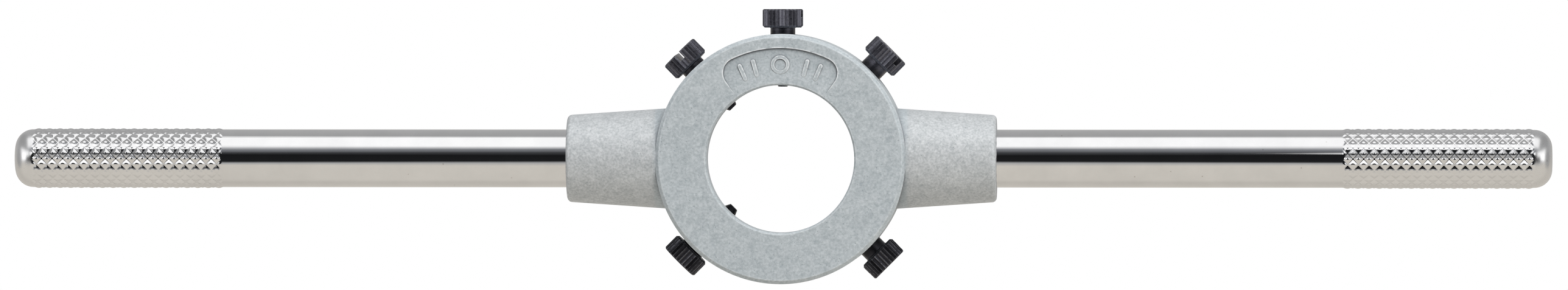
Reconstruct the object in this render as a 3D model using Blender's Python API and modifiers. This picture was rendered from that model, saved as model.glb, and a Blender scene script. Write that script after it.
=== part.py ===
"""A die stock: the two-handed holder that turns a round threading die.

A die-cast ring holds the die in a seat that opens downwards, behind a lip with a guide hole.
Two tapered bosses on the ring take two steel handles with knurled grips, and five slotted
thumb screws reach through the ring's wall to centre, spread and hold the die.

The origin is where the handles' axis crosses the ring's axis, half way through the ring.
+X runs along the handles, +Y to the spreading screw, and +Z out of the closed, marked face.
"""

import math

import bmesh
import bpy
from mathutils import Matrix

# Overall sizes, in metres
OVERALL_LENGTH = 0.265
RING_DIAMETER = 0.043
RING_THICKNESS = 0.018

# The die that the stock holds, and its seat
DIE_DIAMETER = 0.030
DIE_THICKNESS = 0.011
SEAT_CLEARANCE = 0.0001
GUIDE_HOLE_DIAMETER = 0.0254

# The casting's edges
RING_FILLET = 0.0006
HOLE_CHAMFER = 0.0003
SEAT_CHAMFER = 0.0005

# The tapered bosses that take the handles; the step is at a boss's root, inside the ring's wall
BOSS_LENGTH = 0.0155
BOSS_FACE_STEP = 0.000242
BOSS_WALL = 0.00255
BOSS_FILLET = 0.0008

# The recessed marking panel on the closed face
PANEL_RIM_MARGIN = 0.0024
PANEL_HOLE_MARGIN = 0.0009
PANEL_DEPTH = 0.00035
PANEL_CORNER_RADIUS = 0.0026
PANEL_HALF_ANGLE = 35.0

# The handles
ROD_DIAMETER = 0.010
GRIP_RAISE = 0.00015
GRIP_LENGTH = 0.0330
GRIP_EDGE = 0.0003
TIP_ROUNDING = 0.0031
SOCKET_DEPTH = 0.005
SPIGOT_DIAMETER = 0.008
SPIGOT_LENGTH = 0.011
SPIGOT_CHAMFER = 0.0008
SHOULDER_CHAMFER = 0.0003

# The thumb screws
SCREW_LENGTH = 0.0134
HEAD_DIAMETER = 0.007
HEAD_HEIGHT = 0.0032
HEAD_TOP_CHAMFER = 0.0002
HEAD_LOWER_CHAMFER = 0.00035
THREAD_DIAMETER = 0.005
NECK_DIAMETER = 0.0043
NECK_LENGTH = 0.002
TIP_DIAMETER = 0.0016
TIP_HALF_ANGLE = 27.0
SLOT_WIDTH = 0.001
SLOT_DEPTH = 0.0014

# Each screw: its angle about the ring from +X, the height of its head's top above the ring's
# rim, and its turn about its own axis (0 puts the slot along Z, 90 along the ring's rim)
SCREWS = {
    "spreading_screw": (90, 0.00428, 78),
    "closing_screw_right": (45, 0.00504, 43),
    "closing_screw_left": (134.5, 0.00417, -5),
    "holding_screw_left": (225, 0.00385, 97),
    "holding_screw_right": (315, 0.00460, 84),
}

# Gaps between pieces, and how far a cutter runs past what it cuts
FIT_GAP = 0.0003
CUT_MARGIN = 0.001

# How finely round shapes are drawn
RING_STEPS = 72
BOSS_STEPS = 48
HANDLE_STEPS = 36
SCREW_STEPS = 32
FILLET_SEGMENTS = 3
TIP_SEGMENTS = 6
PANEL_SEGMENTS = 16
MERGE_DISTANCE = 0.00001

# Sizes that follow from the driving ones
RIM_RADIUS = RING_DIAMETER / 2
FACE_HEIGHT = RING_THICKNESS / 2
SEAT_RADIUS = (DIE_DIAMETER + SEAT_CLEARANCE) / 2
SHOULDER_HEIGHT = DIE_THICKNESS - FACE_HEIGHT
SCREW_HEIGHT = SHOULDER_HEIGHT - DIE_THICKNESS / 2
BOSS_ROOT = (SEAT_RADIUS + RIM_RADIUS) / 2
BOSS_REACH = RIM_RADIUS + BOSS_LENGTH
PANEL_OUTER_RADIUS = RIM_RADIUS - PANEL_RIM_MARGIN
PANEL_RUNOUT_RADIUS = GUIDE_HOLE_DIAMETER / 2 + PANEL_HOLE_MARGIN
HANDLE_SHOULDER = BOSS_REACH - SOCKET_DEPTH + FIT_GAP


def clear_scene():
    for old in list(bpy.data.objects):
        bpy.data.objects.remove(old)


def new_collection(name):
    collection = bpy.data.collections.new(name)
    bpy.context.scene.collection.children.link(collection)
    return collection


def new_material(name, colour, roughness, metallic):
    material = bpy.data.materials.new(name)
    material.use_nodes = True
    shader = material.node_tree.nodes["Principled BSDF"]
    shader.inputs["Base Color"].default_value = (*colour, 1)
    shader.inputs["Roughness"].default_value = roughness
    shader.inputs["Metallic"].default_value = metallic
    return material


def arc(centre, radius, start, end, segments):
    """Points on a circle about centre, from angle start to angle end in degrees."""
    points = []
    for step in range(segments + 1):
        angle = math.radians(start + (end - start) * step / segments)
        points.append((centre[0] + radius * math.cos(angle), centre[1] + radius * math.sin(angle)))
    return points


def turned(name, profile, steps, collection, closed=False):
    """A profile of (radius, height) points, turned about Z. A closed one makes a ring."""
    count = len(profile)
    edges = [(i, (i + 1) % count) for i in range(count if closed else count - 1)]
    mesh = bpy.data.meshes.new(name)
    mesh.from_pydata([(radius, 0, height) for radius, height in profile], edges, [])
    piece = bpy.data.objects.new(name, mesh)
    collection.objects.link(piece)
    screw = piece.modifiers.new("turn", "SCREW")
    screw.steps = steps
    screw.render_steps = steps
    screw.use_merge_vertices = True
    screw.merge_threshold = MERGE_DISTANCE
    return piece


def extruded(name, outline, bottom, top, collection):
    """A prism on a flat outline of (x, y) points, from height bottom to height top."""
    curve = bpy.data.curves.new(name, "CURVE")
    curve.dimensions = "2D"
    curve.fill_mode = "BOTH"
    curve.extrude = (top - bottom) / 2
    spline = curve.splines.new("POLY")
    spline.points.add(len(outline) - 1)
    for point, (x, y) in zip(spline.points, outline):
        point.co = (x, y, 0, 1)
    spline.use_cyclic_u = True
    drawn = bpy.data.objects.new(name, curve)
    collection.objects.link(drawn)
    bpy.context.view_layer.update()
    graph = bpy.context.evaluated_depsgraph_get()
    mesh = bpy.data.meshes.new_from_object(drawn.evaluated_get(graph))
    bpy.data.objects.remove(drawn)
    shape = bmesh.new()
    shape.from_mesh(mesh)
    bmesh.ops.remove_doubles(shape, verts=shape.verts, dist=MERGE_DISTANCE)
    bmesh.ops.recalc_face_normals(shape, faces=shape.faces)
    shape.to_mesh(mesh)
    shape.free()
    piece = bpy.data.objects.new(name, mesh)
    piece.location.z = (bottom + top) / 2
    collection.objects.link(piece)
    return piece


def add_boolean(piece, operation, other):
    other.hide_render = True
    other.display_type = "WIRE"
    boolean = piece.modifiers.new(f"{operation.lower()} {other.name}", "BOOLEAN")
    boolean.operation = operation
    boolean.solver = "EXACT"
    boolean.object = other


def shade_round(mesh):
    mesh.shade_smooth()
    mesh.set_sharp_from_angle(angle=math.radians(30))


def ring_profile():
    """The ring's section: down its rim, under the open end, and up the seat and the guide hole."""
    fillet_radius = RIM_RADIUS - RING_FILLET
    fillet_height = FACE_HEIGHT - RING_FILLET
    hole = GUIDE_HOLE_DIAMETER / 2
    return [
        *arc((fillet_radius, fillet_height), RING_FILLET, 90, 0, FILLET_SEGMENTS),
        *arc((fillet_radius, -fillet_height), RING_FILLET, 0, -90, FILLET_SEGMENTS),
        (SEAT_RADIUS + SEAT_CHAMFER, -FACE_HEIGHT),
        (SEAT_RADIUS, SEAT_CHAMFER - FACE_HEIGHT),
        (SEAT_RADIUS, SHOULDER_HEIGHT),
        (hole, SHOULDER_HEIGHT),
        (hole, FACE_HEIGHT - HOLE_CHAMFER),
        (hole + HOLE_CHAMFER, FACE_HEIGHT),
    ]


def boss_profile():
    """A boss along +Z: a straight taper from inside the ring's wall to a rounded end."""
    root_radius = FACE_HEIGHT - BOSS_FACE_STEP
    end_radius = ROD_DIAMETER / 2 + BOSS_WALL
    return [
        (0, BOSS_REACH),
        *arc((end_radius - BOSS_FILLET, BOSS_REACH - BOSS_FILLET), BOSS_FILLET, 90, 0, FILLET_SEGMENTS),
        (root_radius, BOSS_ROOT),
        (0, BOSS_ROOT),
    ]


def socket_profile():
    """The stepped hole in a boss: a wide mouth for the rod, then a bore for its spigot."""
    mouth_radius = ROD_DIAMETER / 2 + FIT_GAP
    bore_radius = SPIGOT_DIAMETER / 2 + FIT_GAP
    step = BOSS_REACH - SOCKET_DEPTH
    bottom = HANDLE_SHOULDER - SPIGOT_LENGTH - FIT_GAP
    return [
        (0, BOSS_REACH + CUT_MARGIN),
        (mouth_radius, BOSS_REACH + CUT_MARGIN),
        (mouth_radius, step),
        (bore_radius, step),
        (bore_radius, bottom),
        (0, bottom),
    ]


def panel_outline():
    """The marking panel seen from above: a sector about +Y with two rounded outer corners.

    The rounding is at most half the panel's height, so that the outline never crosses itself.
    """
    corner = min(PANEL_CORNER_RADIUS, (PANEL_OUTER_RADIUS - PANEL_RUNOUT_RADIUS) / 2)
    corner_distance = PANEL_OUTER_RADIUS - corner
    corner_turn = PANEL_HALF_ANGLE - math.degrees(math.asin(corner / corner_distance))
    inner_radius = PANEL_RUNOUT_RADIUS - CUT_MARGIN / 2
    left = 90 + corner_turn
    right = 90 - corner_turn

    def corner_centre(angle):
        turn = math.radians(angle)
        return corner_distance * math.cos(turn), corner_distance * math.sin(turn)

    return [
        *arc((0, 0), inner_radius, 90 - PANEL_HALF_ANGLE, 90 + PANEL_HALF_ANGLE, PANEL_SEGMENTS),
        *arc(corner_centre(left), corner, 180 + PANEL_HALF_ANGLE, left, TIP_SEGMENTS),
        *arc((0, 0), PANEL_OUTER_RADIUS, left, right, PANEL_SEGMENTS)[1:-1],
        *arc(corner_centre(right), corner, right, -PANEL_HALF_ANGLE, TIP_SEGMENTS),
    ]


def panel_floor_profile():
    """A ring-shaped wedge: its underside is the panel's floor, which runs out towards the hole."""
    outer = PANEL_OUTER_RADIUS + CUT_MARGIN
    inner = PANEL_RUNOUT_RADIUS - CUT_MARGIN
    slope = PANEL_DEPTH / (PANEL_OUTER_RADIUS - PANEL_RUNOUT_RADIUS)
    top = FACE_HEIGHT + 2 * CUT_MARGIN
    return [
        (outer, top),
        (outer, FACE_HEIGHT - slope * (outer - PANEL_RUNOUT_RADIUS)),
        (inner, FACE_HEIGHT + slope * (PANEL_RUNOUT_RADIUS - inner)),
        (inner, top),
    ]


def panel_cutter(cutters):
    floor = turned("panel_floor", panel_floor_profile(), RING_STEPS, cutters, closed=True)
    top = FACE_HEIGHT + CUT_MARGIN
    cutter = extruded("panel_sector", panel_outline(), FACE_HEIGHT - CUT_MARGIN, top, cutters)
    add_boolean(cutter, "INTERSECT", floor)
    return cutter


def radial_cylinder(name, angle, radius, inner, outer, cutters):
    """A cylinder at the screws' height, along a radius of the ring at the angle given."""
    mesh = bpy.data.meshes.new(name)
    shape = bmesh.new()
    bmesh.ops.create_cone(
        shape,
        cap_ends=True,
        segments=SCREW_STEPS,
        radius1=radius,
        radius2=radius,
        depth=outer - inner,
        matrix=Matrix.Translation((0, 0, (inner + outer) / 2)),
    )
    shape.to_mesh(mesh)
    shape.free()
    piece = bpy.data.objects.new(name, mesh)
    piece.location.z = SCREW_HEIGHT
    piece.rotation_euler = (0, math.radians(90), math.radians(angle))
    cutters.objects.link(piece)
    return piece


def make_body(parts, cutters, material):
    """The casting: the ring and its two bosses, with the sockets, screw holes and panel cut in."""
    body = turned("stock_body", ring_profile(), RING_STEPS, parts, closed=True)
    body.data.materials.append(material)
    sides = {"left": -90, "right": 90}
    for side, turn in sides.items():
        boss = turned(f"boss_{side}", boss_profile(), BOSS_STEPS, cutters)
        boss.rotation_euler.y = math.radians(turn)
        add_boolean(body, "UNION", boss)
    for side, turn in sides.items():
        socket = turned(f"socket_{side}", socket_profile(), HANDLE_STEPS, cutters)
        socket.rotation_euler.y = math.radians(turn)
        add_boolean(body, "DIFFERENCE", socket)
    hole_radius = THREAD_DIAMETER / 2 + FIT_GAP
    inner = SEAT_RADIUS - CUT_MARGIN
    outer = RIM_RADIUS + CUT_MARGIN
    for name, (angle, _, _) in SCREWS.items():
        hole = radial_cylinder(f"hole_of_{name}", angle, hole_radius, inner, outer, cutters)
        add_boolean(body, "DIFFERENCE", hole)
    add_boolean(body, "DIFFERENCE", panel_cutter(cutters))
    return body


def handle_profile():
    """A handle along +Z: a rounded tip, the raised grip, the plain rod, and the hidden spigot."""
    end = OVERALL_LENGTH / 2
    rod = ROD_DIAMETER / 2
    grip = rod + GRIP_RAISE
    grip_top = end - TIP_ROUNDING
    grip_bottom = grip_top - GRIP_LENGTH
    spigot = SPIGOT_DIAMETER / 2
    spigot_end = HANDLE_SHOULDER - SPIGOT_LENGTH
    return [
        (0, end),
        *arc((rod - TIP_ROUNDING, grip_top), TIP_ROUNDING, 90, 0, TIP_SEGMENTS),
        (grip, grip_top - GRIP_EDGE),
        (grip, grip_bottom + GRIP_EDGE),
        (rod, grip_bottom),
        (rod, HANDLE_SHOULDER + SHOULDER_CHAMFER),
        (rod - SHOULDER_CHAMFER, HANDLE_SHOULDER),
        (spigot, HANDLE_SHOULDER),
        (spigot, spigot_end + SPIGOT_CHAMFER),
        (spigot - SPIGOT_CHAMFER, spigot_end),
        (0, spigot_end),
    ]


def make_handles(parts, material):
    for side, turn in {"left": -90, "right": 90}.items():
        handle = turned(f"{side}_handle", handle_profile(), HANDLE_STEPS, parts)
        handle.rotation_euler.y = math.radians(turn)
        handle.data.materials.append(material)


def screw_profile():
    """A thumb screw along +Z, with the origin under its head: head, neck, thread and cone tip."""
    head = HEAD_DIAMETER / 2
    neck = NECK_DIAMETER / 2
    thread = THREAD_DIAMETER / 2
    tip = TIP_DIAMETER / 2
    shank = SCREW_LENGTH - HEAD_HEIGHT
    cone = (thread - tip) / math.tan(math.radians(TIP_HALF_ANGLE))
    return [
        (0, HEAD_HEIGHT),
        (head - HEAD_TOP_CHAMFER, HEAD_HEIGHT),
        (head, HEAD_HEIGHT - HEAD_TOP_CHAMFER),
        (head, HEAD_LOWER_CHAMFER),
        (head - HEAD_LOWER_CHAMFER, 0),
        (neck, 0),
        (neck, -NECK_LENGTH),
        (thread, neck - thread - NECK_LENGTH),
        (thread, cone - shank),
        (tip, -shank),
        (0, -shank),
    ]


def screw_mesh(cutters):
    """The mesh that the five screws share: the turned shape with a slot across its head."""
    blank = turned("screw_blank", screw_profile(), SCREW_STEPS, cutters)
    bpy.ops.mesh.primitive_cube_add(size=1)
    slot = bpy.context.object
    slot.name = "screw_slot"
    slot.location.z = HEAD_HEIGHT
    slot.scale = (HEAD_DIAMETER + CUT_MARGIN, SLOT_WIDTH, 2 * SLOT_DEPTH)
    slot.users_collection[0].objects.unlink(slot)
    cutters.objects.link(slot)
    add_boolean(blank, "DIFFERENCE", slot)
    bpy.context.view_layer.update()
    graph = bpy.context.evaluated_depsgraph_get()
    mesh = bpy.data.meshes.new_from_object(blank.evaluated_get(graph))
    mesh.name = "thumb_screw"
    blank.hide_render = True
    blank.display_type = "WIRE"
    return mesh


def make_screws(parts, cutters, material):
    """Each screw hangs on an empty whose Z axis is the line that the screw travels along."""
    mesh = screw_mesh(cutters)
    mesh.materials.append(material)
    shade_round(mesh)
    for name, (angle, stand_off, spin) in SCREWS.items():
        turn = math.radians(angle)
        reach = RIM_RADIUS + stand_off - HEAD_HEIGHT
        line = bpy.data.objects.new(f"line_of_{name}", None)
        line.empty_display_size = HEAD_DIAMETER
        line.location = (reach * math.cos(turn), reach * math.sin(turn), SCREW_HEIGHT)
        line.rotation_euler = (0, math.radians(90), turn)
        parts.objects.link(line)
        screw = bpy.data.objects.new(name, mesh)
        screw.parent = line
        screw.rotation_euler.z = math.radians(spin)
        parts.objects.link(screw)


def main():
    clear_scene()
    parts = new_collection("die_stock")
    cutters = new_collection("cutters")
    zinc = new_material("cast_zinc", (0.43, 0.46, 0.47), 0.5, 0.8)
    nickel = new_material("bright_nickel", (0.72, 0.69, 0.64), 0.12, 1.0)
    black = new_material("black_oxide", (0.018, 0.018, 0.021), 0.38, 0.6)
    make_body(parts, cutters, zinc)
    make_handles(parts, nickel)
    make_screws(parts, cutters, black)


main()
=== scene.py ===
"""The looks of a die stock: a zinc casting, two knurled nickel handles and five black thumb screws.

Every piece is modelled where the solids have it. +X runs along the handles, +Y to the spreading
screw, and +Z out of the closed, marked face. Lengths are in metres.
"""

import math

import bmesh
import bpy
from mathutils import Matrix, Vector


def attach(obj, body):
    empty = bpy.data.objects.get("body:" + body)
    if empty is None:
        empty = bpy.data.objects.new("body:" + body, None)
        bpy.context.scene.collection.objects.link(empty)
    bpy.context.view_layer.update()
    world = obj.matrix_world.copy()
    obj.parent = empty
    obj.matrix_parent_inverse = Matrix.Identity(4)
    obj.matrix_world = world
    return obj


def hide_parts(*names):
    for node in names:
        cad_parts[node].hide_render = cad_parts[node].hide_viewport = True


# The casting
RIM_RADIUS = 0.0215
FACE_HEIGHT = 0.009
SEAT_RADIUS = 0.01505
SHOULDER_HEIGHT = 0.002
GUIDE_RADIUS = 0.0127
RING_EDGE = 0.0006
RING_EDGE_ROUNDING = 0.00012
GUIDE_CHAMFER = 0.0003
SEAT_CHAMFER = 0.0005
BOSS_REACH = 0.037
BOSS_ROOT = 0.018275
BOSS_ROOT_RADIUS = 0.008758
BOSS_END_RADIUS = 0.00755
BOSS_FILLET = 0.0008
SCREW_HOLE_RADIUS = 0.00256
SNUG = 0.00002

# The marking panel, and the maker's plain marks that stand in it
PANEL_OUTER = 0.0191
PANEL_RUNOUT = 0.0136
PANEL_DEPTH = 0.00035
PANEL_CORNER = 0.0026
PANEL_HALF_ANGLE = 35.0
MARK_RADIUS = 0.01625
MARK_TOP = 0.00897
MARK_BARS = (-23.5, -15.5, 15.5, 23.5)
MARK_BAR_HALF_WIDTH = 0.00034
MARK_BAR_HALF_HEIGHT = 0.0012
MARK_RING_OUTER = 0.0016
MARK_RING_INNER = 0.001

# The handles
TIP_END = 0.1325
ROD_RADIUS = 0.005
TIP_ROUNDING = 0.0031
GRIP_LENGTH = 0.0330
GRIP_RAISE = 0.00015
HANDLE_SHOULDER = 0.0323
SHOULDER_CHAMFER = 0.0003
SPIGOT_RADIUS = 0.004
SPIGOT_END = 0.0213
KNURL_STARTS = 16
KNURL_PITCHES = 18
KNURL_DEPTH = 0.00021
KNURL_STEPS = 12
KNURL_FLANK_SHARE = 0.40

# The thumb screws
SCREW_HEIGHT = -0.0035
HEAD_RADIUS = 0.0035
HEAD_HEIGHT = 0.0032
HEAD_TOP_CHAMFER = 0.0002
HEAD_LOWER_CHAMFER = 0.00035
SHANK_LENGTH = 0.0102
THREAD_RADIUS = 0.0025
THREAD_PITCH = 0.0008
THREAD_DEPTH = 0.00043
NECK_RADIUS = 0.00215
NECK_LENGTH = 0.002
TIP_RADIUS = 0.0008
TIP_HALF_ANGLE = 27.0
HEAD_RIDGES = 30
RIDGE_DEPTH = 0.00022
SLOT_WIDTH = 0.001
SLOT_DEPTH = 0.0014

# Each screw: its angle about the ring, its head's top above the rim, and its turn on its axis
SCREWS = {
    "spreading_screw": (90, 0.00428, 78),
    "closing_screw_right": (45, 0.00504, 43),
    "closing_screw_left": (134.5, 0.00417, -5),
    "holding_screw_left": (225, 0.00385, 97),
    "holding_screw_right": (315, 0.00460, 84),
}

# How finely round shapes are drawn
RING_STEPS = 192
BOSS_STEPS = 128
HANDLE_STEPS = KNURL_STARTS * KNURL_STEPS
SCREW_STEPS = HEAD_RIDGES * 6
FILLET_SEGMENTS = 6
WELD = 0.000002

# The camera: its distance, its turn to the right and its lift in degrees, its lens in millimetres
CAMERA_DISTANCE = 2.0
CAMERA_TURN = 2.2
CAMERA_TILT = 0.8
CAMERA_LENS = 266.4
CAMERA_SHIFT = (0.0012, 0.00862)
FLOOR_HEIGHT = -0.25

# Where the colours and finishes change, as pairs of distances that a change is spread over: from
# the middle along X to the bosses, which are painted lighter and warmer as painted light, and to
# the tips, up to the ring's face and to the panel's floor, which is painted darker as painted
# shade, out to the panel's border, out past the painted shade on a screw close to the ring, and
# along Y from the screws painted darker as shade on the lower side to the others
BOSS_START = (0.0212, 0.0222)
TIP_START = (0.1289, 0.1297)
FACE_LEVEL = (0.00840, 0.00855)
PANEL_LEVEL = (0.00870, 0.00888)
PANEL_BORDER = (0.0194, 0.0198)
RIM_SHADE_RADIUS = (0.0219, 0.0229)
LOWER_SHADE_SIDE = (-0.004, 0.004)


# ---- Writing node trees ----


class Nodes:
    """A short way to write a node tree: each call adds a node and gives back one of its outputs."""

    def __init__(self, tree):
        self.tree = tree

    def add(self, kind, inputs=None, out=0, **settings):
        node = self.tree.nodes.new(kind)
        for name, value in settings.items():
            setattr(node, name, value)
        for key, value in (inputs or {}).items():
            self.feed(node.inputs[key], value)
        return node.outputs[out]

    def feed(self, socket, value):
        if isinstance(value, bpy.types.NodeSocket):
            self.tree.links.new(value, socket)
        else:
            socket.default_value = value

    def math(self, operation, *values, clamp=False):
        return self.add(
            "ShaderNodeMath", dict(enumerate(values)), operation=operation, use_clamp=clamp
        )

    def smoothly(self, value, low, high):
        """0 below low, 1 above high, and a smooth step between them."""
        return self.add(
            "ShaderNodeMapRange",
            {"Value": value, "From Min": low, "From Max": high},
            interpolation_type="SMOOTHSTEP",
        )

    def inverse(self, value):
        return self.math("SUBTRACT", 1.0, value)

    def product(self, first, *others):
        for other in others:
            first = self.math("MULTIPLY", first, other)
        return first

    def within(self, value, rise, fall):
        """1 inside a band, 0 outside: it rises over one pair of values, falls over another."""
        return self.product(self.smoothly(value, *rise), self.inverse(self.smoothly(value, *fall)))

    def from_axis(self, x, y):
        """How far the point (x, y) is from the axis."""
        return self.math("SQRT", self.math("ADD", self.product(x, x), self.product(y, y)))


def new_tree(name, kind, inputs, outputs):
    """A node group with named sockets: its Nodes, its inputs by name, and its output node."""
    tree = bpy.data.node_groups.new(name, kind)
    for label, socket_type, default in inputs:
        socket = tree.interface.new_socket(label, in_out="INPUT", socket_type=socket_type)
        if default is not None:
            socket.default_value = default
    for label, socket_type in outputs:
        tree.interface.new_socket(label, in_out="OUTPUT", socket_type=socket_type)
    start = tree.nodes.new("NodeGroupInput")
    end = tree.nodes.new("NodeGroupOutput")
    return Nodes(tree), {label: start.outputs[label] for label, _, _ in inputs}, end


# ---- Meshes ----


def arc(centre, radius, start, end, segments):
    points = []
    for step in range(segments + 1):
        angle = math.radians(start + (end - start) * step / segments)
        points.append((centre[0] + radius * math.cos(angle), centre[1] + radius * math.sin(angle)))
    return points


def hidden_object(name, mesh):
    piece = bpy.data.objects.new(name, mesh)
    bpy.context.scene.collection.objects.link(piece)
    return piece


def lathe(name, profile, steps, closed=False, gap_after=None):
    """Turns (radius, height) points about Z. A radius of 0 is a pole; a gap leaves a band open."""
    shape = bmesh.new()
    rings = []
    for radius, height in profile:
        if radius == 0:
            rings.append([shape.verts.new((0, 0, height))])
            continue
        turns = [2 * math.pi * step / steps for step in range(steps)]
        rings.append(
            [shape.verts.new((radius * math.cos(t), radius * math.sin(t), height)) for t in turns]
        )
    pairs = list(zip(rings, rings[1:]))
    if closed:
        pairs.append((rings[-1], rings[0]))
    for index, (one, other) in enumerate(pairs):
        if index == gap_after:
            continue
        for step in range(steps):
            after = (step + 1) % steps
            corners = [one[step % len(one)], one[after % len(one)]]
            corners += [other[after % len(other)], other[step % len(other)]]
            shape.faces.new(list(dict.fromkeys(corners)))
    bmesh.ops.recalc_face_normals(shape, faces=shape.faces)
    mesh = bpy.data.meshes.new(name)
    shape.to_mesh(mesh)
    shape.free()
    return mesh


def prism(name, outline, bottom, top):
    shape = bmesh.new()
    low = [shape.verts.new((x, y, bottom)) for x, y in outline]
    high = [shape.verts.new((x, y, top)) for x, y in outline]
    shape.faces.new(low)
    shape.faces.new(high)
    for index in range(len(outline)):
        after = (index + 1) % len(outline)
        shape.faces.new((low[index], low[after], high[after], high[index]))
    bmesh.ops.recalc_face_normals(shape, faces=shape.faces)
    mesh = bpy.data.meshes.new(name)
    shape.to_mesh(mesh)
    shape.free()
    return mesh


def baked(piece):
    """The object's mesh with its modifiers' result, as a plain mesh. The object is removed."""
    bpy.context.view_layer.update()
    graph = bpy.context.evaluated_depsgraph_get()
    mesh = bpy.data.meshes.new_from_object(piece.evaluated_get(graph))
    bpy.data.objects.remove(piece)
    return mesh


def carved(name, mesh, steps):
    """The mesh after a list of (operation, cutting mesh) Booleans."""
    piece = hidden_object(name, mesh)
    tools = []
    for operation, tool_mesh in steps:
        tool = hidden_object(f"{name}_tool", tool_mesh)
        tools.append(tool)
        boolean = piece.modifiers.new(operation, "BOOLEAN")
        boolean.operation = operation
        boolean.solver = "EXACT"
        boolean.object = tool
    result = baked(piece)
    for tool in tools:
        bpy.data.objects.remove(tool)
    return result


def cleaned(mesh, sharp_angle):
    """Doubles merged, faces outwards, and smooth shading that breaks at edges past the angle."""
    shape = bmesh.new()
    shape.from_mesh(mesh)
    bmesh.ops.remove_doubles(shape, verts=shape.verts, dist=WELD)
    bmesh.ops.recalc_face_normals(shape, faces=shape.faces)
    shape.to_mesh(mesh)
    shape.free()
    mesh.shade_smooth()
    mesh.set_sharp_from_angle(angle=math.radians(sharp_angle))
    return mesh


def finished(name, mesh, material, body):
    """A visible piece at the origin, riding on its body in place of the solid of its name."""
    mesh.name = name
    mesh.materials.clear()
    mesh.materials.append(material)
    piece = bpy.data.objects.new(f"{name}_finish", mesh)
    bpy.context.scene.collection.objects.link(piece)
    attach(piece, body)
    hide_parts(name)
    return piece


# ---- The casting ----


def ring_profile():
    """The outer edges are broken by a small flat with rounded corners."""
    inner = RIM_RADIUS - RING_EDGE
    lower = FACE_HEIGHT - RING_EDGE
    small = RING_EDGE_ROUNDING
    upper_edge = [
        *arc((inner - 0.4 * small, FACE_HEIGHT - small), small, 90, 45, 4),
        *arc((RIM_RADIUS - small, lower - 0.4 * small), small, 45, 0, 4),
    ]
    lower_edge = [(radius, -height) for radius, height in reversed(upper_edge)]
    return [
        *upper_edge,
        *lower_edge,
        (SEAT_RADIUS + SEAT_CHAMFER, -FACE_HEIGHT),
        (SEAT_RADIUS, SEAT_CHAMFER - FACE_HEIGHT),
        (SEAT_RADIUS, SHOULDER_HEIGHT),
        (GUIDE_RADIUS, SHOULDER_HEIGHT),
        (GUIDE_RADIUS, FACE_HEIGHT - GUIDE_CHAMFER),
        (GUIDE_RADIUS + GUIDE_CHAMFER, FACE_HEIGHT),
    ]


def boss_profile():
    inner = BOSS_END_RADIUS - BOSS_FILLET
    return [
        (0, BOSS_REACH),
        *arc((inner, BOSS_REACH - BOSS_FILLET), BOSS_FILLET, 90, 0, FILLET_SEGMENTS),
        (BOSS_ROOT_RADIUS, BOSS_ROOT),
        (0, BOSS_ROOT),
    ]


def socket_profile():
    """The handle's seat, drawn close round it so that the rod looks pressed home."""
    rod = ROD_RADIUS + SNUG
    spigot = SPIGOT_RADIUS + SNUG
    return [
        (0, BOSS_REACH + 0.001),
        (rod, BOSS_REACH + 0.001),
        (rod, HANDLE_SHOULDER - SNUG),
        (spigot, HANDLE_SHOULDER - SNUG),
        (spigot, SPIGOT_END - SNUG),
        (0, SPIGOT_END - SNUG),
    ]


def screw_hole_profile():
    """A tapped hole with a small countersink at the rim and in the seat."""
    mouth = SCREW_HOLE_RADIUS + 0.00025
    return [
        (0, SEAT_RADIUS - 0.001),
        (mouth + 0.001, SEAT_RADIUS - 0.001),
        (SCREW_HOLE_RADIUS, SEAT_RADIUS + 0.00025),
        (SCREW_HOLE_RADIUS, RIM_RADIUS - 0.00025),
        (mouth + 0.001, RIM_RADIUS + 0.001),
        (0, RIM_RADIUS + 0.001),
    ]


def panel_outline():
    distance = PANEL_OUTER - PANEL_CORNER
    turn = PANEL_HALF_ANGLE - math.degrees(math.asin(PANEL_CORNER / distance))
    left = 90 + turn
    right = 90 - turn
    start = 90 - PANEL_HALF_ANGLE
    end = 90 + PANEL_HALF_ANGLE

    def centre(angle):
        return distance * math.cos(math.radians(angle)), distance * math.sin(math.radians(angle))

    return [
        *arc((0, 0), PANEL_RUNOUT - 0.0005, start, end, 48),
        *arc(centre(left), PANEL_CORNER, 180 + PANEL_HALF_ANGLE, left, 14),
        *arc((0, 0), PANEL_OUTER, left, right, 48)[1:-1],
        *arc(centre(right), PANEL_CORNER, right, -PANEL_HALF_ANGLE, 14),
    ]


def panel_floor_profile():
    slope = PANEL_DEPTH / (PANEL_OUTER - PANEL_RUNOUT)
    outer = PANEL_OUTER + 0.001
    inner = PANEL_RUNOUT - 0.001
    top = FACE_HEIGHT + 0.002
    return [
        (outer, top),
        (outer, FACE_HEIGHT - slope * (outer - PANEL_RUNOUT)),
        (inner, FACE_HEIGHT + slope * (PANEL_RUNOUT - inner)),
        (inner, top),
    ]


def mark_bar_outline(angle):
    """A short bar with round ends that points at the ring's centre."""
    width, height = MARK_BAR_HALF_WIDTH, MARK_BAR_HALF_HEIGHT
    turn = math.radians(angle)
    along = (math.sin(turn), math.cos(turn))
    across = (along[1], -along[0])
    outline = arc((0, height), width, 0, 180, 8) + arc((0, -height), width, 180, 360, 8)
    return [
        (
            along[0] * (MARK_RADIUS + y) + across[0] * x,
            along[1] * (MARK_RADIUS + y) + across[1] * x,
        )
        for x, y in outline
    ]


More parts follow.
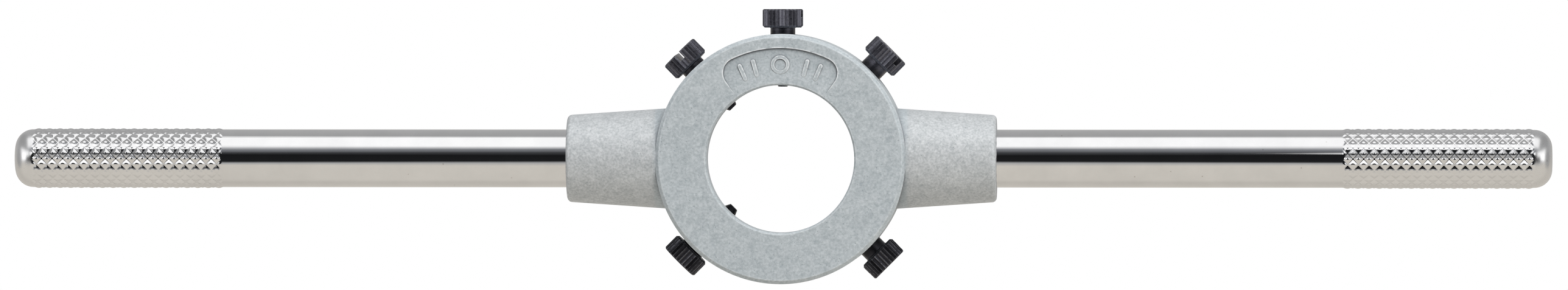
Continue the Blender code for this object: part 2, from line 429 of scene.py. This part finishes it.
def mark_meshes():
    """The marks that stand in the panel: a plain ring, for a round die, between short bars."""
    bottom = FACE_HEIGHT - 0.001
    profile = [
        (MARK_RING_OUTER, bottom),
        (MARK_RING_OUTER, MARK_TOP),
        (MARK_RING_INNER, MARK_TOP),
        (MARK_RING_INNER, bottom),
    ]
    ring = lathe("mark_ring", profile, 40, closed=True)
    ring.transform(Matrix.Translation((0, MARK_RADIUS, 0)))
    bars = [prism("mark_bar", mark_bar_outline(angle), bottom, MARK_TOP) for angle in MARK_BARS]
    return [ring, *bars]


def along_radius(mesh, angle, height=0.0):
    """Turns a mesh drawn up Z to lie along a radius of the ring, at a height."""
    turn = Matrix.Rotation(math.radians(angle), 4, "Z") @ Matrix.Rotation(math.pi / 2, 4, "Y")
    mesh.transform(Matrix.Translation((0, 0, height)) @ turn)
    return mesh


def make_casting(material):
    panel = carved(
        "panel",
        prism("panel", panel_outline(), FACE_HEIGHT - 0.001, FACE_HEIGHT + 0.001),
        [("INTERSECT", lathe("panel_floor", panel_floor_profile(), RING_STEPS, closed=True))],
    )
    steps = []
    for angle in (0, 180):
        steps.append(("UNION", along_radius(lathe("boss", boss_profile(), BOSS_STEPS), angle)))
    for angle in (0, 180):
        socket = lathe("socket", socket_profile(), HANDLE_STEPS // 2)
        steps.append(("DIFFERENCE", along_radius(socket, angle)))
    for angle, _, _ in SCREWS.values():
        hole = lathe("screw_hole", screw_hole_profile(), 64)
        steps.append(("DIFFERENCE", along_radius(hole, angle, SCREW_HEIGHT)))
    steps.append(("DIFFERENCE", panel))
    steps += [("UNION", mark) for mark in mark_meshes()]
    ring = lathe("casting", ring_profile(), RING_STEPS, closed=True)
    mesh = cleaned(carved("casting", ring, steps), 32)
    piece = hidden_object("casting", mesh)
    weighted = piece.modifiers.new("even_faces", "WEIGHTED_NORMAL")
    weighted.keep_sharp = True
    finished("stock_body", baked(piece), material, "root")


# ---- The handles ----


def knurled_grip_tree():
    """Closes the open band of a turned handle with a knurl: two crossing sets of grooves."""
    nodes, given, end = new_tree(
        "knurled_grip",
        "GeometryNodeTree",
        [
            ("Geometry", "NodeSocketGeometry", None),
            ("Rod Radius", "NodeSocketFloat", ROD_RADIUS),
            ("Grip Start", "NodeSocketFloat", 0.0),
            ("Grip Length", "NodeSocketFloat", GRIP_LENGTH),
            ("Starts", "NodeSocketInt", KNURL_STARTS),
            ("Pitches", "NodeSocketInt", KNURL_PITCHES),
            ("Steps", "NodeSocketInt", KNURL_STEPS),
            ("Crest Raise", "NodeSocketFloat", GRIP_RAISE),
            ("Groove Depth", "NodeSocketFloat", KNURL_DEPTH),
            ("Flank Share", "NodeSocketFloat", KNURL_FLANK_SHARE),
            ("Material", "NodeSocketMaterial", None),
        ],
        [("Geometry", "NodeSocketGeometry")],
    )
    along_count = nodes.math("ADD", nodes.math("MULTIPLY", given["Pitches"], given["Steps"]), 1)
    around_count = nodes.math("ADD", nodes.math("MULTIPLY", given["Starts"], given["Steps"]), 1)
    grid = nodes.add(
        "GeometryNodeMeshGrid",
        {"Size X": 1.0, "Size Y": 1.0, "Vertices X": along_count, "Vertices Y": around_count},
    )
    place = nodes.add("ShaderNodeSeparateXYZ", {0: nodes.add("GeometryNodeInputPosition")})
    along = nodes.math("ADD", place, 0.5)
    around = nodes.math("ADD", place.node.outputs[1], 0.5)
    forward = nodes.math("MULTIPLY", along, given["Pitches"])
    sideways = nodes.math("MULTIPLY", around, given["Starts"])
    one = nodes.math("PINGPONG", nodes.math("ADD", forward, sideways), 0.5)
    other = nodes.math("PINGPONG", nodes.math("SUBTRACT", forward, sideways), 0.5)
    nearest = nodes.math("MINIMUM", one, other)
    rise = nodes.math("DIVIDE", nearest, given["Flank Share"], clamp=True)
    to_end = nodes.math("MINIMUM", along, nodes.inverse(along))
    fade = nodes.math("MULTIPLY", nodes.product(to_end, given["Pitches"]), 4.0, clamp=True)
    groove = nodes.product(given["Groove Depth"], nodes.inverse(rise))
    lift = nodes.product(fade, nodes.math("SUBTRACT", given["Crest Raise"], groove))
    radius = nodes.math("ADD", given["Rod Radius"], lift)
    turn = nodes.math("MULTIPLY", around, 2 * math.pi)
    position = nodes.add(
        "ShaderNodeCombineXYZ",
        {
            0: nodes.math("MULTIPLY", radius, nodes.math("COSINE", turn)),
            1: nodes.math("MULTIPLY", radius, nodes.math("SINE", turn)),
            2: nodes.math("MULTIPLY_ADD", along, given["Grip Length"], given["Grip Start"]),
        },
    )
    grip = nodes.add("GeometryNodeSetPosition", {"Geometry": grid, "Position": position})
    joined = nodes.add("GeometryNodeJoinGeometry")
    nodes.tree.links.new(given["Geometry"], joined.node.inputs[0])
    nodes.tree.links.new(grip, joined.node.inputs[0])
    welded = nodes.add("GeometryNodeMergeByDistance", {"Geometry": joined, "Distance": WELD})
    realised = nodes.add("GeometryNodeRealizeInstances", {"Geometry": welded})
    painted = nodes.add(
        "GeometryNodeSetMaterial", {"Geometry": realised, "Material": given["Material"]}
    )
    nodes.feed(end.inputs["Geometry"], painted)
    return nodes.tree


def give_nodes(piece, tree, values):
    """Puts a Geometry Nodes tree on a piece and sets its inputs, each by its identifier."""
    modifier = piece.modifiers.new(tree.name, "NODES")
    modifier.node_group = tree
    for item in tree.interface.items_tree:
        if item.in_out == "INPUT" and item.name in values:
            modifier[item.identifier] = values[item.name]


def handle_profile():
    """From the tip to the hidden spigot. The grip's band is left open for the knurl."""
    grip_top = TIP_END - TIP_ROUNDING
    grip_bottom = grip_top - GRIP_LENGTH
    tip = arc((ROD_RADIUS - TIP_ROUNDING, grip_top), TIP_ROUNDING, 90, 0, 16)
    spigot_shoulder = ROD_RADIUS - SHOULDER_CHAMFER
    profile = [
        (0, TIP_END),
        *tip,
        (ROD_RADIUS, grip_bottom),
        (ROD_RADIUS, HANDLE_SHOULDER + SHOULDER_CHAMFER),
        (spigot_shoulder, HANDLE_SHOULDER),
        (SPIGOT_RADIUS, HANDLE_SHOULDER),
        (SPIGOT_RADIUS, SPIGOT_END + 0.0008),
        (SPIGOT_RADIUS - 0.0008, SPIGOT_END),
        (0, SPIGOT_END),
    ]
    return profile, len(tip), grip_bottom


def make_handles(material):
    tree = knurled_grip_tree()
    for name, angle in {"left_handle": 180, "right_handle": 0}.items():
        profile, gap, grip_bottom = handle_profile()
        blank = hidden_object(name, lathe(name, profile, HANDLE_STEPS, gap_after=gap))
        give_nodes(blank, tree, {"Grip Start": grip_bottom, "Material": material})
        mesh = along_radius(cleaned(baked(blank), 18), angle)
        finished(name, mesh, material, "root")


# ---- The thumb screws ----


def thumb_screw_tree():
    """Cuts ridges in a screw blank's head, a thread on its shank, and a slot across its head."""
    nodes, given, end = new_tree(
        "thumb_screw",
        "GeometryNodeTree",
        [
            ("Geometry", "NodeSocketGeometry", None),
            ("Ridges", "NodeSocketInt", HEAD_RIDGES),
            ("Ridge Depth", "NodeSocketFloat", RIDGE_DEPTH),
            ("Thread Pitch", "NodeSocketFloat", THREAD_PITCH),
            ("Thread Depth", "NodeSocketFloat", THREAD_DEPTH),
            ("Head Radius", "NodeSocketFloat", HEAD_RADIUS),
            ("Head Height", "NodeSocketFloat", HEAD_HEIGHT),
            ("Slot Width", "NodeSocketFloat", SLOT_WIDTH),
            ("Slot Depth", "NodeSocketFloat", SLOT_DEPTH),
            ("Material", "NodeSocketMaterial", None),
        ],
        [("Geometry", "NodeSocketGeometry")],
    )
    place = nodes.add("ShaderNodeSeparateXYZ", {0: nodes.add("GeometryNodeInputPosition")})
    x, y, z = (place.node.outputs[axis] for axis in range(3))
    radius = nodes.from_axis(x, y)
    turns = nodes.math("DIVIDE", nodes.math("ARCTAN2", y, x), 2 * math.pi)
    masks = [
        nodes.add("GeometryNodeInputNamedAttribute", {"Name": name}, data_type="FLOAT")
        for name in ("ridge", "thread")
    ]
    ridge_wave = nodes.math("PINGPONG", nodes.product(turns, given["Ridges"]), 0.5)
    ridge_cut = nodes.product(ridge_wave, 2.0, given["Ridge Depth"])
    lead = nodes.math("SUBTRACT", nodes.math("DIVIDE", z, given["Thread Pitch"]), turns)
    thread_wave = nodes.math("PINGPONG", lead, 0.5)
    flank = nodes.math("MULTIPLY_ADD", thread_wave, 2.6, -0.15, clamp=True)
    thread_cut = nodes.product(flank, given["Thread Depth"])
    cuts = (nodes.product(masks[0], ridge_cut), nodes.product(masks[1], thread_cut))
    cut = nodes.math("ADD", *cuts)
    share = nodes.math("DIVIDE", nodes.math("SUBTRACT", radius, cut), radius)
    position = nodes.add(
        "ShaderNodeCombineXYZ",
        {0: nodes.product(x, share), 1: nodes.product(y, share), 2: z},
    )
    turned = nodes.add(
        "GeometryNodeSetPosition", {"Geometry": given["Geometry"], "Position": position}
    )
    slot_size = nodes.add(
        "ShaderNodeCombineXYZ",
        {
            0: nodes.product(given["Head Radius"], 3.0),
            1: given["Slot Width"],
            2: nodes.product(given["Slot Depth"], 2.0),
        },
    )
    slot = nodes.add("GeometryNodeMeshCube", {"Size": slot_size})
    raised = nodes.add(
        "GeometryNodeTransform",
        {
            "Geometry": slot,
            "Translation": nodes.add("ShaderNodeCombineXYZ", {2: given["Head Height"]}),
        },
    )
    slotted = nodes.add(
        "GeometryNodeMeshBoolean",
        {"Mesh 1": turned},
        operation="DIFFERENCE",
        solver="EXACT",
    )
    nodes.feed(slotted.node.inputs["Mesh 2"], raised)
    realised = nodes.add("GeometryNodeRealizeInstances", {"Geometry": slotted})
    painted = nodes.add(
        "GeometryNodeSetMaterial", {"Geometry": realised, "Material": given["Material"]}
    )
    nodes.feed(end.inputs["Geometry"], painted)
    return nodes.tree


def screw_blank():
    """The turned blank, with how far each point takes part in the ridges and in the thread."""
    cone = (THREAD_RADIUS - TIP_RADIUS) / math.tan(math.radians(TIP_HALF_ANGLE))
    thread_top = NECK_RADIUS - THREAD_RADIUS - NECK_LENGTH
    thread_end = cone - SHANK_LENGTH
    rows = [
        (0, HEAD_HEIGHT, 0, 0),
        (HEAD_RADIUS - 0.0006, HEAD_HEIGHT, 0, 0),
        (HEAD_RADIUS - HEAD_TOP_CHAMFER, HEAD_HEIGHT, 0.5, 0),
        (HEAD_RADIUS, HEAD_HEIGHT - HEAD_TOP_CHAMFER, 1, 0),
        (HEAD_RADIUS, HEAD_LOWER_CHAMFER, 1, 0),
        (HEAD_RADIUS - HEAD_LOWER_CHAMFER, 0, 0.3, 0),
        (NECK_RADIUS + 0.0001, 0, 0, 0),
        (NECK_RADIUS, -0.0001, 0, 0),
        (NECK_RADIUS, -NECK_LENGTH, 0, 0),
        (THREAD_RADIUS, thread_top, 0, 0),
    ]
    step = THREAD_PITCH / 8
    count = int((thread_top - thread_end) / step)
    for index in range(1, count):
        rows.append((THREAD_RADIUS, thread_top - index * step, 0, min(1, index / 6)))
    rows += [
        (THREAD_RADIUS, thread_end, 0, 0.6),
        (TIP_RADIUS + 0.00005, -SHANK_LENGTH + 0.0001, 0, 0),
        (TIP_RADIUS - 0.00005, -SHANK_LENGTH, 0, 0),
        (0, -SHANK_LENGTH, 0, 0),
    ]
    mesh = lathe("screw_blank", [row[:2] for row in rows], SCREW_STEPS)
    for name, column in {"ridge": 2, "thread": 3}.items():
        shares = []
        for row in rows:
            shares += [row[column]] * (1 if row[0] == 0 else SCREW_STEPS)
        attribute = mesh.attributes.new(name, "FLOAT", "POINT")
        attribute.data.foreach_set("value", [float(share) for share in shares])
    return mesh


def make_screws(material):
    tree = thumb_screw_tree()
    blank = hidden_object("screw", screw_blank())
    give_nodes(blank, tree, {"Material": material})
    shared = cleaned(baked(blank), 24)
    for name, (angle, stand_off, spin) in SCREWS.items():
        mesh = shared.copy()
        mesh.transform(Matrix.Rotation(math.radians(spin), 4, "Z"))
        mesh.transform(Matrix.Translation((0, 0, RIM_RADIUS + stand_off - HEAD_HEIGHT)))
        along_radius(mesh, angle, SCREW_HEIGHT)
        finished(name, mesh, material, name)


# ---- Surface effects that several finishes share ----


def fine_grain_group():
    """Small grain: a value that varies about 0.5, and the same as a height."""
    nodes, given, end = new_tree(
        "fine_grain",
        "ShaderNodeTree",
        [("Grain Size", "NodeSocketFloat", 0.0003), ("Contrast", "NodeSocketFloat", 1.0)],
        [("Value", "NodeSocketFloat"), ("Height", "NodeSocketFloat")],
    )
    place = nodes.add("ShaderNodeTexCoord", out="Object")
    noise = nodes.add(
        "ShaderNodeTexNoise",
        {
            "Vector": place,
            "Scale": nodes.math("DIVIDE", 1.0, given["Grain Size"]),
            "Detail": 4.0,
            "Roughness": 0.62,
        },
    )
    centred = nodes.product(nodes.math("SUBTRACT", noise, 0.5), given["Contrast"])
    nodes.feed(end.inputs["Value"], nodes.math("ADD", centred, 0.5, clamp=True))
    nodes.feed(end.inputs["Height"], noise)
    return nodes.tree


def wear_highlight_and_shade_group():
    """Edges rubbed by handling, broken up by a patchy noise, which also stand in as painted
    highlights, and painted shade in corners and hollows.
    """
    nodes, given, end = new_tree(
        "wear_highlight_and_shade",
        "ShaderNodeTree",
        [("Reach", "NodeSocketFloat", 0.0003), ("Patch Size", "NodeSocketFloat", 0.0006)],
        [("Edge", "NodeSocketFloat"), ("Hollow", "NodeSocketFloat")],
    )
    place = nodes.add("ShaderNodeTexCoord", out="Object")
    noise = nodes.add(
        "ShaderNodeTexNoise",
        {"Vector": place, "Scale": nodes.math("DIVIDE", 1.0, given["Patch Size"]), "Detail": 3.0},
    )
    beneath, outside = (
        nodes.add(
            "ShaderNodeAmbientOcclusion",
            {"Distance": given["Reach"]},
            out="AO",
            samples=4,
            inside=inside,
            only_local=True,
        )
        for inside in (True, False)
    )
    # Edge is partly rubbed wear and partly a painted highlight; Hollow is painted shade where
    # corners and hollows lie in shade
    edge = nodes.inverse(nodes.smoothly(beneath, 0.62, 0.95))
    hollow = nodes.inverse(nodes.smoothly(outside, 0.45, 0.98))
    nodes.feed(end.inputs["Edge"], nodes.product(edge, nodes.smoothly(noise, 0.30, 0.55)))
    nodes.feed(end.inputs["Hollow"], hollow)
    return nodes.tree


def mix_colours(nodes, share, one, other):
    node = nodes.tree.nodes.new("ShaderNodeMix")
    node.data_type = "RGBA"
    nodes.feed(node.inputs[0], share)
    nodes.feed(node.inputs[6], one)
    nodes.feed(node.inputs[7], other)
    return node.outputs[2]


def new_material(name, metallic):
    material = bpy.data.materials.new(name)
    material.use_nodes = True
    shader = material.node_tree.nodes["Principled BSDF"]
    shader.inputs["Metallic"].default_value = metallic
    return material, Nodes(material.node_tree), shader


def use_group(nodes, tree, **values):
    node = nodes.tree.nodes.new("ShaderNodeGroup")
    node.node_tree = tree
    for name, value in values.items():
        node.inputs[name.replace("_", " ").title()].default_value = value
    return node.outputs


# ---- Materials ----


# Colours of painted shade: for the zinc's corners and hollows, and for the screws near the ring and
# on the lower side
PAINTED_SHADE_ON_ZINC = (0.13, 0.14, 0.155, 1)
PAINTED_SHADE_ON_OXIDE = (0.010, 0.010, 0.012, 1)


def zinc_casting(grain_group, wear_and_painted_light_group):
    """Tumbled zinc: a cool satin grey with fine mottle and small dark pits. Its edges are painted
    pale, partly polished by wear and partly a painted highlight; painted shade darkens its corners,
    hollows and the panel's floor, and the bosses are painted lighter and warmer as painted light.
    """
    material, nodes, shader = new_material("zinc_casting", 0.3)
    fine = use_group(nodes, grain_group, grain_size=0.0004, contrast=2.4)
    broad = use_group(nodes, grain_group, grain_size=0.0016, contrast=2.0)
    wear_and_painted_light = use_group(nodes, wear_and_painted_light_group, reach=0.0003, patch_size=0.0009)
    corners = use_group(nodes, wear_and_painted_light_group, reach=0.0014)
    place = nodes.add("ShaderNodeTexCoord", out="Object")
    x, y, z = nodes.add("ShaderNodeSeparateXYZ", {0: place}).node.outputs
    pits = nodes.add("ShaderNodeTexVoronoi", {"Vector": place, "Scale": 900.0, "Randomness": 1.0})
    pit = nodes.inverse(nodes.smoothly(pits, 0.05, 0.16))

    # Painted light: the bosses are painted lighter and warmer than the ring's face, to match how
    # the light fell on them
    on_boss = nodes.smoothly(nodes.math("ABSOLUTE", x), *BOSS_START)
    dark = mix_colours(nodes, on_boss, (0.30, 0.345, 0.375, 1), (0.30, 0.325, 0.345, 1))
    light = mix_colours(nodes, on_boss, (0.535, 0.58, 0.61, 1), (0.59, 0.615, 0.635, 1))
    tone = nodes.math("MULTIPLY_ADD", broad["Value"], 0.4, nodes.product(fine["Value"], 0.6))
    colour = mix_colours(nodes, tone, dark, light)
    colour = mix_colours(nodes, nodes.product(pit, 0.35), colour, (0.17, 0.20, 0.24, 1))

    # Painted shade: the floor of the recessed panel is painted darker
    inside_border = nodes.inverse(nodes.smoothly(nodes.from_axis(x, y), *PANEL_BORDER))
    in_panel = nodes.product(nodes.within(z, FACE_LEVEL, PANEL_LEVEL), inside_border)
    colour = mix_colours(nodes, nodes.product(in_panel, 0.22), colour, (0.20, 0.235, 0.255, 1))
    # Painted shade: corners and hollows, as at the bosses' roots, the chamfers and round the marks,
    # are painted darker
    colour = mix_colours(nodes, nodes.product(corners["Hollow"], 0.8), colour, PAINTED_SHADE_ON_ZINC)
    colour = mix_colours(nodes, nodes.product(wear_and_painted_light["Hollow"], 0.5), colour, PAINTED_SHADE_ON_ZINC)
    # Edges painted pale: partly rubbed wear, partly a painted highlight
    colour = mix_colours(nodes, nodes.product(wear_and_painted_light["Edge"], 0.9), colour, (0.80, 0.83, 0.86, 1))
    nodes.feed(shader.inputs["Base Color"], colour)

    roughness = nodes.math("MULTIPLY_ADD", fine["Value"], 0.18, 0.42)
    nodes.feed(shader.inputs["Roughness"], roughness)
    grainy = nodes.math("MULTIPLY_ADD", broad["Height"], 1.2, fine["Height"])
    height = nodes.math("SUBTRACT", grainy, pit)
    softened = nodes.add("ShaderNodeBevel", {"Radius": 0.00012}, samples=4)
    bump = nodes.add(
        "ShaderNodeBump",
        {"Height": height, "Strength": 0.5, "Distance": 0.00006, "Normal": softened},
    )
    nodes.feed(shader.inputs["Normal"], bump)
    return material


def bright_nickel(grain_group):
    """Bright plate, mirror-like, with faint drawing lines, smudges, a few specks, duller tips."""
    material, nodes, shader = new_material("bright_nickel", 1.0)
    smudge = use_group(nodes, grain_group, grain_size=0.006, contrast=1.6)
    place = nodes.add("ShaderNodeTexCoord", out="Object")
    x = nodes.add("ShaderNodeSeparateXYZ", {0: place})
    specks = nodes.add("ShaderNodeTexVoronoi", {"Vector": place, "Scale": 260.0})
    speck = nodes.inverse(nodes.smoothly(specks, 0.02, 0.05))
    colour = mix_colours(nodes, smudge["Value"], (0.60, 0.60, 0.605, 1), (0.68, 0.68, 0.685, 1))
    colour = mix_colours(nodes, nodes.product(speck, 0.4), colour, (0.25, 0.22, 0.19, 1))
    nodes.feed(shader.inputs["Base Color"], colour)

    tip = nodes.smoothly(nodes.math("ABSOLUTE", x), *TIP_START)
    polish = nodes.math("MULTIPLY_ADD", smudge["Value"], 0.05, 0.03)
    nodes.feed(shader.inputs["Roughness"], nodes.math("MULTIPLY_ADD", tip, 0.22, polish))
    stretched = nodes.add("ShaderNodeMapping", {"Vector": place, "Scale": (60.0, 9000.0, 9000.0)})
    lines = nodes.add("ShaderNodeTexNoise", {"Vector": stretched, "Scale": 1.0, "Detail": 3.0})
    bump = nodes.add("ShaderNodeBump", {"Height": lines, "Strength": 0.06, "Distance": 0.00001})
    nodes.feed(shader.inputs["Normal"], bump)
    return material


def black_oxide(grain_group, wear_and_painted_light_group):
    """Black oxide on steel, its ridges painted paler, partly rubbed and partly a painted highlight,
    with painted shade in its hollows, close to the ring and on the lower screws.
    """
    material, nodes, shader = new_material("black_oxide", 0.85)
    grain = use_group(nodes, grain_group, grain_size=0.0003, contrast=1.5)
    wear_and_painted_light = use_group(nodes, wear_and_painted_light_group, reach=0.00018, patch_size=0.0008)
    place = nodes.add("ShaderNodeTexCoord", out="Object")
    x, y, _ = nodes.add("ShaderNodeSeparateXYZ", {0: place}).node.outputs
    colour = mix_colours(nodes, grain["Value"], (0.032, 0.032, 0.040, 1), (0.135, 0.135, 0.165, 1))
    # Painted shade: the screw is painted darker where its neck and shank stand close to the ring
    near_ring = nodes.inverse(nodes.smoothly(nodes.from_axis(x, y), *RIM_SHADE_RADIUS))
    colour = mix_colours(nodes, nodes.product(near_ring, 0.8), colour, PAINTED_SHADE_ON_OXIDE)
    # Painted shade: the screws on the lower side, facing away from the key light, are painted
    # darker
    below = nodes.inverse(nodes.smoothly(y, *LOWER_SHADE_SIDE))
    colour = mix_colours(nodes, nodes.product(below, 0.75), colour, PAINTED_SHADE_ON_OXIDE)
    # Painted shade: the hollows between the ridges, in the thread and in the slot are painted
    # darker
    hollow_shade = nodes.product(wear_and_painted_light["Hollow"], 0.8)
    colour = mix_colours(nodes, hollow_shade, colour, (0.006, 0.006, 0.008, 1))
    # Ridges painted paler: partly rubbed wear, partly a painted highlight
    rubbed_and_highlit = nodes.product(wear_and_painted_light["Edge"], 0.8)
    colour = mix_colours(nodes, rubbed_and_highlit, colour, (0.26, 0.265, 0.295, 1))
    nodes.feed(shader.inputs["Base Color"], colour)

    roughness = nodes.math("MULTIPLY_ADD", grain["Value"], 0.20, 0.22)
    nodes.feed(shader.inputs["Roughness"], roughness)
    bump = nodes.add(
        "ShaderNodeBump", {"Height": grain["Height"], "Strength": 0.3, "Distance": 0.00004}
    )
    nodes.feed(shader.inputs["Normal"], bump)
    return material


# ---- The studio ----

WARM = (1.0, 0.945, 0.855)
NEUTRAL = (1.0, 1.0, 1.0)
COOL = (0.90, 0.93, 1.0)
KEY_TINT = (1.0, 0.97, 0.93)

# The light round the handles' axis: degrees from straight above towards +Y, level, and tint
STUDIO_BANDS = (
    (-180, 0.64, KEY_TINT),
    (-155, 0.74, WARM),
    (-108, 0.74, WARM),
    (-92, 0.84, WARM),
    (-30, 0.86, WARM),
    (-17, 0.55, NEUTRAL),
    (-10, 0.02, COOL),
    (12, 0.015, COOL),
    (24, 0.08, COOL),
    (38, 0.35, COOL),
    (51, 1.46, NEUTRAL),
    (90, 1.46, NEUTRAL),
    (99, 0.52, NEUTRAL),
    (155, 0.56, NEUTRAL),
    (180, 0.64, KEY_TINT),
)

# The levels of the grey walls at both ends, of a card on each side, and of a bright strip beyond
# each card that is seen only in reflections
END_WALL = 0.43
SIDE_CARD = 1.6
END_STRIP = 2.1

# Soft boxes that only light matt surfaces: place, size, power in watts
SOFT_BOXES = {"key_box": ((0.38, 0.66, 0.62), 0.5, 9.2)}


def make_world():
    """A light tent: a bright box towards +Y, a dark slot above, pale walls, white to the camera."""
    world = bpy.data.worlds.new("studio")
    world.use_nodes = True
    tree = world.node_tree
    tree.nodes.clear()
    nodes = Nodes(tree)
    direction = nodes.add("ShaderNodeTexCoord", out="Generated")
    x, y, z = nodes.add("ShaderNodeSeparateXYZ", {0: direction}).node.outputs
    turn = nodes.math("ARCTAN2", y, z)
    share = nodes.math("MULTIPLY_ADD", turn, 1 / (2 * math.pi), 0.5)
    ramp = tree.nodes.new("ShaderNodeValToRGB")
    nodes.feed(ramp.inputs["Fac"], share)
    stops = ramp.color_ramp.elements
    while len(stops) > 1:
        stops.remove(stops[-1])
    brightest = max(END_STRIP, *(level for _, level, _ in STUDIO_BANDS))
    for index, (angle, level, tint) in enumerate(STUDIO_BANDS):
        place = angle / 360 + 0.5
        stop = stops[0] if index == 0 else stops.new(place)
        stop.position = place
        stop.color = (*(level / brightest * part for part in tint), 1)

    def grey(level):
        return (level / brightest, level / brightest, level / brightest, 1)

    aside = nodes.math("ABSOLUTE", x)
    above = nodes.smoothly(z, 0.1, 0.2)
    side_wall = nodes.product(nodes.smoothly(aside, 0.38, 0.52), nodes.smoothly(y, 0.30, 0.55))
    card = nodes.product(
        nodes.smoothly(aside, 0.20, 0.30), above, nodes.within(y, (0.10, 0.18), (0.40, 0.55))
    )
    strip = nodes.product(
        nodes.smoothly(aside, 0.56, 0.66),
        above,
        nodes.within(y, (-0.16, -0.06), (0.20, 0.32)),
        nodes.add("ShaderNodeLightPath", out="Is Glossy Ray"),
    )
    tent = mix_colours(nodes, side_wall, ramp.outputs["Color"], grey(END_WALL))
    tent = mix_colours(nodes, card, tent, grey(SIDE_CARD))
    tent = mix_colours(nodes, strip, tent, grey(END_STRIP))
    tent = mix_colours(nodes, nodes.smoothly(aside, 0.88, 0.97), tent, grey(END_WALL))
    lit = tree.nodes.new("ShaderNodeBackground")
    nodes.feed(lit.inputs["Color"], tent)
    lit.inputs["Strength"].default_value = brightest
    backdrop = tree.nodes.new("ShaderNodeBackground")
    backdrop.inputs["Color"].default_value = (1, 1, 1, 1)
    mixed = tree.nodes.new("ShaderNodeMixShader")
    nodes.feed(mixed.inputs[0], nodes.add("ShaderNodeLightPath", out="Is Camera Ray"))
    tree.links.new(lit.outputs[0], mixed.inputs[1])
    tree.links.new(backdrop.outputs[0], mixed.inputs[2])
    output = tree.nodes.new("ShaderNodeOutputWorld")
    tree.links.new(mixed.outputs[0], output.inputs["Surface"])
    bpy.context.scene.world = world


def make_soft_boxes():
    for name, (place, size, power) in SOFT_BOXES.items():
        data = bpy.data.lights.new(name, "AREA")
        data.size = size
        data.energy = power
        data.color = KEY_TINT
        light = bpy.data.objects.new(name, data)
        light.location = place
        light.rotation_euler = (-Vector(place)).to_track_quat("-Z", "Y").to_euler()
        light.visible_glossy = False
        bpy.context.scene.collection.objects.link(light)


def make_floor():
    """A plain white floor well below the stock, which is clear when it is seen from underneath."""
    bpy.ops.mesh.primitive_plane_add(size=8, location=(0, 0, FLOOR_HEIGHT))
    floor = bpy.context.object
    floor.name = "floor"
    material = bpy.data.materials.new("floor")
    material.use_nodes = True
    tree = material.node_tree
    tree.nodes.clear()
    nodes = Nodes(tree)
    white = nodes.add("ShaderNodeEmission", {"Color": (1, 1, 1, 1), "Strength": 1.0})
    clear = nodes.add("ShaderNodeBsdfTransparent")
    mixed = tree.nodes.new("ShaderNodeMixShader")
    nodes.feed(mixed.inputs[0], nodes.add("ShaderNodeNewGeometry", out="Backfacing"))
    tree.links.new(white, mixed.inputs[1])
    tree.links.new(clear, mixed.inputs[2])
    output = tree.nodes.new("ShaderNodeOutputMaterial")
    tree.links.new(mixed.outputs[0], output.inputs["Surface"])
    floor.data.materials.append(material)
    floor.visible_glossy = False
    floor.visible_diffuse = False
    floor.visible_shadow = False


def make_camera():
    turn, tilt = math.radians(CAMERA_TURN), math.radians(CAMERA_TILT)
    data = bpy.data.cameras.new("camera")
    data.lens = CAMERA_LENS
    data.sensor_width = 36
    data.shift_x, data.shift_y = CAMERA_SHIFT
    data.clip_end = 20
    camera = bpy.data.objects.new("camera", data)
    across, along = math.cos(tilt) * math.sin(turn), math.cos(tilt) * math.cos(turn)
    camera.location = Vector((across, math.sin(tilt), along)) * CAMERA_DISTANCE
    camera.rotation_euler = (-tilt, turn, 0)
    bpy.context.scene.collection.objects.link(camera)
    bpy.context.scene.camera = camera


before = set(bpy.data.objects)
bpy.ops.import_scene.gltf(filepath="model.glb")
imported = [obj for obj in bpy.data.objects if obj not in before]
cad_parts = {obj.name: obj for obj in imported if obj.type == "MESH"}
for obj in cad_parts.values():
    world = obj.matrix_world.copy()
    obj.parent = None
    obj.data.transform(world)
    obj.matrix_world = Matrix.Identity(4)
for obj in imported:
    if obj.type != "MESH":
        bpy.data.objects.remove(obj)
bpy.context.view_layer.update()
bpy.context.scene.view_settings.view_transform = "Standard"
grain = fine_grain_group()
wear_and_painted_light = wear_highlight_and_shade_group()
make_casting(zinc_casting(grain, wear_and_painted_light))
make_handles(bright_nickel(grain))
make_screws(black_oxide(grain, wear_and_painted_light))
make_world()
make_soft_boxes()
make_floor()
make_camera()
